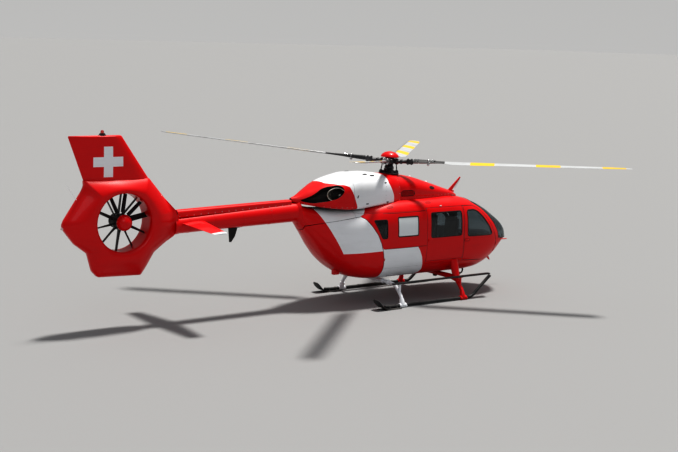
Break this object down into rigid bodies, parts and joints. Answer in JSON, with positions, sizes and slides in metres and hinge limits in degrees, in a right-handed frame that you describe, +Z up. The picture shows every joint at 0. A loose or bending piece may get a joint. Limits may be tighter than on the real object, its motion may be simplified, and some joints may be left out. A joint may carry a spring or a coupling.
{
  "type": "light twin-engined helicopter on skids with a shrouded tail rotor",
  "caption": "Light helicopter on skids with a hollow cabin, hinged crew and rear doors, a turning main rotor and a shrouded tail rotor",
  "frame": {"origin": "on the ground under the middle of the overall box; the main rotor mast is 2.077 m forward of it", "axes": "+X towards the nose, +Y to port, +Z up"},
  "size_m": [12.1662, 7.9952, 3.95],
  "materials": {
    "red_paint": "gloss",
    "red_composite": "gloss",
    "white_paint": "gloss",
    "white_composite": "gloss",
    "black_paint": "satin",
    "rotor_metal": "satin",
    "blade_skin": "satin",
    "tinted_glass": "gloss",
    "frosted_glass": "satin",
    "exhaust_metal": "matt",
    "machinery": "matt",
    "seat_fabric": "matt",
    "cabin_plastic": "matt",
    "black_rubber": "matt"
  },
  "bodies": {
    "airframe": {"nose_shell": "red_composite", "belly_shell": "red_paint", "roof_panel": "red_paint", "boom_root": "red_paint", "windshield_frame": "red_paint", "side_wall_right": "red_paint", "side_wall_left": "red_paint", "windshield_right": "tinted_glass", "windshield_left": "tinted_glass", "chin_window_right": "tinted_glass", "chin_window_left": "tinted_glass", "sliding_door_right": "red_paint", "sliding_door_left": "red_paint", "sliding_door_window_right": "tinted_glass", "sliding_door_window_left": "tinted_glass", "aft_window_right": "frosted_glass", "aft_window_left": "frosted_glass", "corner_window_right": "tinted_glass", "corner_window_left": "tinted_glass", "cabin_floor": "cabin_plastic", "pilot_seat_right": "seat_fabric", "pilot_seat_left": "seat_fabric", "cabin_bench": "seat_fabric", "instrument_panel": "cabin_plastic", "engine_cowling": "white_composite", "gearbox_cowling": "red_composite", "exhaust_fairing": "red_composite", "exhaust_nozzle_right": "exhaust_metal", "exhaust_nozzle_left": "exhaust_metal", "engines_and_gearbox": "machinery", "tail_boom": "red_paint", "driveshaft_cover": "red_composite", "tail_shroud": "red_composite", "tail_fin": "red_composite", "tail_rotor_stator": "rotor_metal", "stabiliser_right": "red_composite", "stabiliser_left": "red_composite", "cross_tube_front": "red_paint", "cross_tube_rear": "white_paint", "skid_right": "black_paint", "skid_left": "black_paint", "boarding_step_right": "black_paint", "boarding_step_left": "black_paint"},
    "main_rotor": {"rotor_mast": "rotor_metal", "rotor_hub": "rotor_metal", "hub_cap": "red_composite", "rotor_blade_1": "blade_skin", "rotor_blade_2": "blade_skin", "rotor_blade_3": "blade_skin", "rotor_blade_4": "blade_skin"},
    "tail_rotor": {"tail_rotor_fan": "rotor_metal", "tail_rotor_spinner": "red_composite"},
    "crew_door_right": {"pilot_door_right": "red_composite", "pilot_door_window_right": "tinted_glass"},
    "crew_door_left": {"pilot_door_left": "red_composite", "pilot_door_window_left": "tinted_glass"},
    "rear_door_right": {"clamshell_door_right": "red_composite"},
    "rear_door_left": {"clamshell_door_left": "red_composite"}
  },
  "joints": [
    {"name": "main_rotor_spin", "type": "hinge", "parent": "airframe", "child": "main_rotor", "pos_m": [2.077, 0, 3.19], "axis": [0.0523, 0, 0.9986], "continuous": true},
    {"name": "tail_rotor_spin", "type": "hinge", "parent": "airframe", "child": "tail_rotor", "pos_m": [-4.813, 0, 2.2], "axis": [0, 1, 0], "continuous": true},
    {"name": "crew_door_right_hinge", "type": "hinge", "parent": "airframe", "child": "crew_door_right", "pos_m": [4.829, -0.785, 1.2], "axis": [0, 0, 1], "range_deg": [0, 80]},
    {"name": "crew_door_left_hinge", "type": "hinge", "parent": "airframe", "child": "crew_door_left", "pos_m": [4.829, 0.785, 1.2], "axis": [0, 0, -1], "range_deg": [0, 80]},
    {"name": "rear_door_right_hinge", "type": "hinge", "parent": "airframe", "child": "rear_door_right", "pos_m": [1.417, -0.86, 1.3], "axis": [0, 0, 1], "range_deg": [0, 90]},
    {"name": "rear_door_left_hinge", "type": "hinge", "parent": "airframe", "child": "rear_door_left", "pos_m": [1.417, 0.86, 1.3], "axis": [0, 0, -1], "range_deg": [0, 90]}
  ]
}
